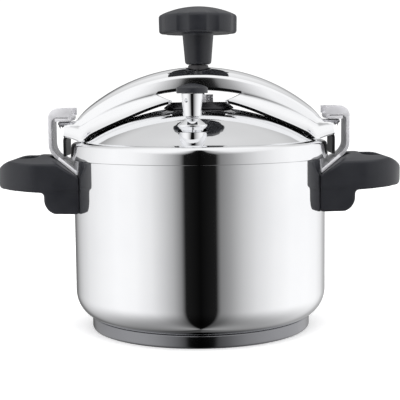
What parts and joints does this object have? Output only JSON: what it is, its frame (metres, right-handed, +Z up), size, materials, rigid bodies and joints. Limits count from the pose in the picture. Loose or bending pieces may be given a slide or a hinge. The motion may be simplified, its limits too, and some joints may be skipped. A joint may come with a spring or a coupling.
{
  "type": "pressure canner",
  "caption": "Steel pressure canner with a domed lid held down by an arched bow and a central clamp screw, with a weight valve and black side handles.",
  "frame": {"origin": "centre of the base's underside, where it stands on the hob", "axes": "+Z up along the pot's axis; +X through the right side handle; -Y towards the weight valve at the front"},
  "size_m": [0.392, 0.252, 0.3124],
  "materials": {
    "polished_steel": "mirror polished stainless steel",
    "plain_steel": "turned",
    "satin_steel": "satin pressed stainless steel",
    "blackened_steel": "blackened, oiled",
    "aluminium": "satin",
    "brass": "turned",
    "black_phenolic": "moulded, semi-matte",
    "gasket_rubber": "matte silicone"
  },
  "bodies": {
    "pot": {"pot_body": "polished_steel", "base_cap": "polished_steel", "base_core": "aluminium", "right_hook": "satin_steel", "left_hook": "satin_steel", "right_handle": "black_phenolic", "left_handle": "black_phenolic", "right_handle_stud": "plain_steel", "left_handle_stud": "plain_steel", "right_handle_washer": "plain_steel", "left_handle_washer": "plain_steel", "right_handle_screw": "plain_steel", "left_handle_screw": "plain_steel"},
    "lid": {"lid_shell": "polished_steel", "lid_gasket": "gasket_rubber", "valve_nut": "polished_steel", "vent_pipe": "plain_steel", "valve_lock_nut": "plain_steel", "valve_seal": "gasket_rubber", "safety_valve_body": "polished_steel", "safety_valve_nut": "plain_steel", "safety_valve_seal": "gasket_rubber"},
    "valve_weight": {"valve_sleeve": "polished_steel", "valve_needle": "plain_steel", "valve_cap": "black_phenolic"},
    "safety_pin": {"safety_pin": "brass"},
    "bow": {"bow": "polished_steel", "bow_nut": "blackened_steel"},
    "clamp_foot": {"pressure_foot": "blackened_steel", "foot_collar": "plain_steel", "collar_pin": "plain_steel"},
    "clamp_screw": {"clamp_screw": "plain_steel", "clamp_knob": "black_phenolic", "knob_insert": "brass"}
  },
  "joints": [
    {"name": "lid_turn", "type": "hinge", "parent": "pot", "child": "lid", "pos_m": [0, 0, 0.18], "axis": [0, 0, 1], "continuous": true},
    {"name": "bow_swing", "type": "hinge", "parent": "lid", "child": "bow", "pos_m": [0, 0, 0.2], "axis": [0, 0, 1], "range_deg": [-55, 55]},
    {"name": "knob_turn", "type": "hinge", "parent": "clamp_foot", "child": "clamp_screw", "pos_m": [0, 0, 0.25], "axis": [0, 0, 1], "range_deg": [0, 720]},
    {"name": "screw_travel", "type": "slide", "parent": "bow", "child": "clamp_foot", "axis": [0, 0, 1], "range_m": [0, 0.00601]},
    {"name": "valve_lift", "type": "slide", "parent": "lid", "child": "valve_weight", "axis": [0, 0, 1], "range_m": [0, 0.004]},
    {"name": "pin_lift", "type": "slide", "parent": "lid", "child": "safety_pin", "axis": [0, 0, 1], "range_m": [0, 0.003]}
  ],
  "couplings": [
    {"joint": "screw_travel", "follows": "knob_turn", "m_per_rad": 0.00047746}
  ]
}
